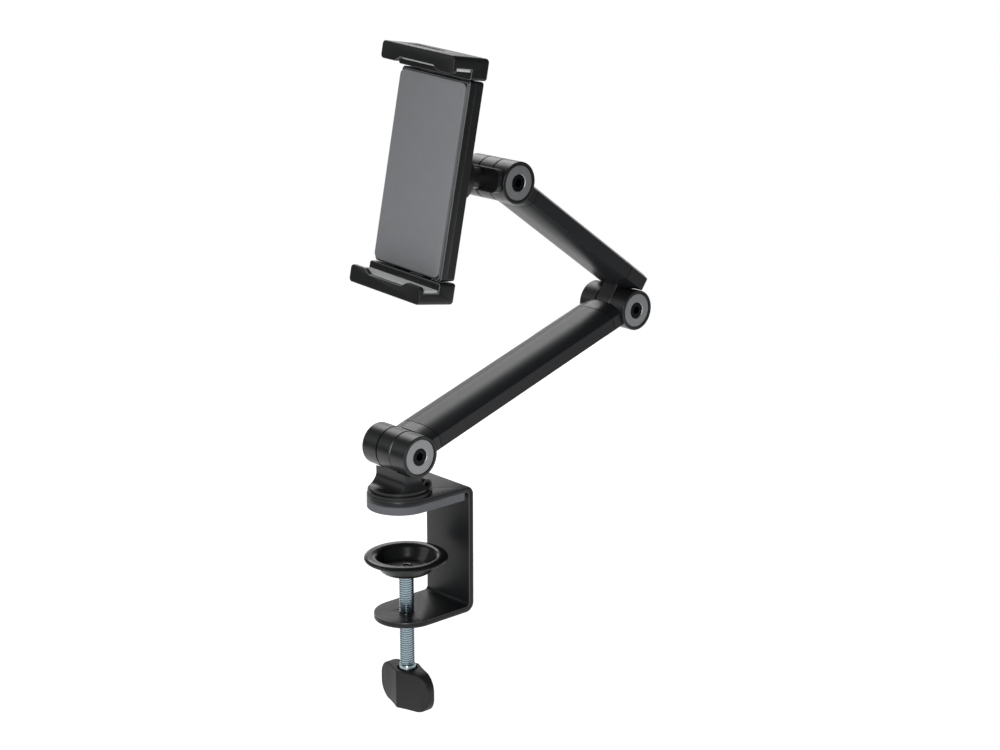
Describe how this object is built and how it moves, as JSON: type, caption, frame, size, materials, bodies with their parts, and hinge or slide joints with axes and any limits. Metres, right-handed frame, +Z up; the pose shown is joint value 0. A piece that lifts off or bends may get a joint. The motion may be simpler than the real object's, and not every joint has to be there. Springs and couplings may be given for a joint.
{
  "type": "tablet desk mount",
  "caption": "Desk clamp with a swivel post, flat hinged arms and a tilting, turning holder whose sprung jaws grip a tablet.",
  "frame": {"origin": "middle of the grey pad's underside, where the mount rests on the desk, on the axis that the post swivels about", "axes": "+Z up off the desk, X along the hinge axes, -Y towards the user and the open side of the clamp"},
  "size_m": [0.0607, 0.1834, 0.3443],
  "materials": {
    "black_powder_coat": "satin black powder coat",
    "grey_rubber": "plain grey rubber",
    "black_nylon": "moulded black nylon",
    "gloss_black_paint": "gloss black enamel",
    "zinc_steel": "bright zinc-plated steel",
    "black_casting": "satin black coated die casting",
    "black_steel": "black oxide steel",
    "spring_steel": "spring steel",
    "black_anodised": "satin black anodised extrusion",
    "bronze_washer": "sintered bronze",
    "grey_aluminium": "turned grey aluminium",
    "grey_rest_rubber": "smooth mid-grey rubber",
    "black_shell_plastic": "fine-textured black plastic"
  },
  "bodies": {
    "clamp": {"clamp_bracket": "black_powder_coat", "desk_pad": "grey_rubber", "swivel_ring": "black_nylon"},
    "dish": {"pressure_dish": "gloss_black_paint"},
    "screw": {"clamp_screw": "zinc_steel", "wing_knob": "black_nylon"},
    "swivel": {"swivel_post": "black_casting", "swivel_bolt": "black_steel", "swivel_set_screw": "black_steel", "swivel_spring_washer": "spring_steel"},
    "lower_arm": {"lower_arm_base_fork": "black_casting", "lower_arm_elbow_fork": "black_casting", "lower_arm_tube": "black_anodised", "base_hinge_bolt": "black_steel", "base_hinge_nut": "zinc_steel", "base_hinge_washers": "bronze_washer", "base_hinge_caps": "grey_aluminium", "elbow_hinge_bolt": "black_steel", "elbow_hinge_nut": "zinc_steel", "elbow_hinge_washers": "bronze_washer", "elbow_hinge_caps": "grey_aluminium"},
    "upper_arm": {"upper_arm_elbow_yoke": "black_casting", "upper_arm_head_fork": "black_casting", "upper_arm_tube": "black_anodised", "head_hinge_bolt": "black_steel", "head_hinge_nut": "zinc_steel", "head_hinge_washers": "bronze_washer", "head_hinge_caps": "grey_aluminium"},
    "stem": {"head_stem": "black_casting", "hub_friction_washer": "bronze_washer", "hub_spring_washer": "spring_steel", "hub_pivot_bolt": "black_steel"},
    "holder": {"holder_rest_pad": "grey_rest_rubber", "holder_front_shell": "black_shell_plastic", "holder_back_shell": "black_shell_plastic", "holder_hub": "black_shell_plastic", "hub_screws": "black_steel", "holder_shell_screws": "black_steel", "jaw_springs": "spring_steel"},
    "upper_jaw": {"upper_jaw": "black_shell_plastic", "upper_jaw_liner": "grey_rest_rubber", "upper_jaw_slide": "black_steel", "upper_jaw_screws": "black_steel"},
    "lower_jaw": {"lower_jaw": "black_shell_plastic", "lower_jaw_liner": "grey_rest_rubber", "lower_jaw_slide": "black_steel", "lower_jaw_screws": "black_steel"}
  },
  "joints": [
    {"name": "base_swivel", "type": "hinge", "parent": "clamp", "child": "swivel", "pos_m": [0, 0, 0], "axis": [0, 0, 1], "continuous": true},
    {"name": "base_hinge", "type": "hinge", "parent": "swivel", "child": "lower_arm", "pos_m": [0, 0, 0.02948], "axis": [1, 0, 0], "range_deg": [-30, 120]},
    {"name": "elbow_hinge", "type": "hinge", "parent": "lower_arm", "child": "upper_arm", "pos_m": [0, 0.15368, 0.07912], "axis": [1, 0, 0], "range_deg": [-140, 25]},
    {"name": "head_tilt", "type": "hinge", "parent": "upper_arm", "child": "stem", "pos_m": [0, 0.06679, 0.16016], "axis": [-1, 0, 0], "range_deg": [-80, 90]},
    {"name": "holder_turn", "type": "hinge", "parent": "stem", "child": "holder", "pos_m": [0, 0.06679, 0.16016], "axis": [0, -0.9871, 0.1599], "continuous": true},
    {"name": "upper_jaw_slide", "type": "slide", "parent": "holder", "child": "upper_jaw", "axis": [0.0506, 0.1597, 0.9859], "range_m": [0, 0.05], "stiffness_N_per_m": 150, "springref_m": -0.05},
    {"name": "lower_jaw_slide", "type": "slide", "parent": "holder", "child": "lower_jaw", "axis": [-0.0506, -0.1597, -0.9859], "range_m": [0, 0.05], "stiffness_N_per_m": 150, "springref_m": -0.05},
    {"name": "screw_travel", "type": "slide", "parent": "clamp", "child": "dish", "axis": [0, 0, 1], "range_m": [-0.0215, 0.0258]},
    {"name": "screw_spin", "type": "hinge", "parent": "dish", "child": "screw", "pos_m": [0, 0.0035, 0], "axis": [0, 0, 1], "range_deg": [-6195, 7434]}
  ],
  "couplings": [
    {"joint": "screw_spin", "follows": "screw_travel", "rad_per_m": 5026.5}
  ]
}
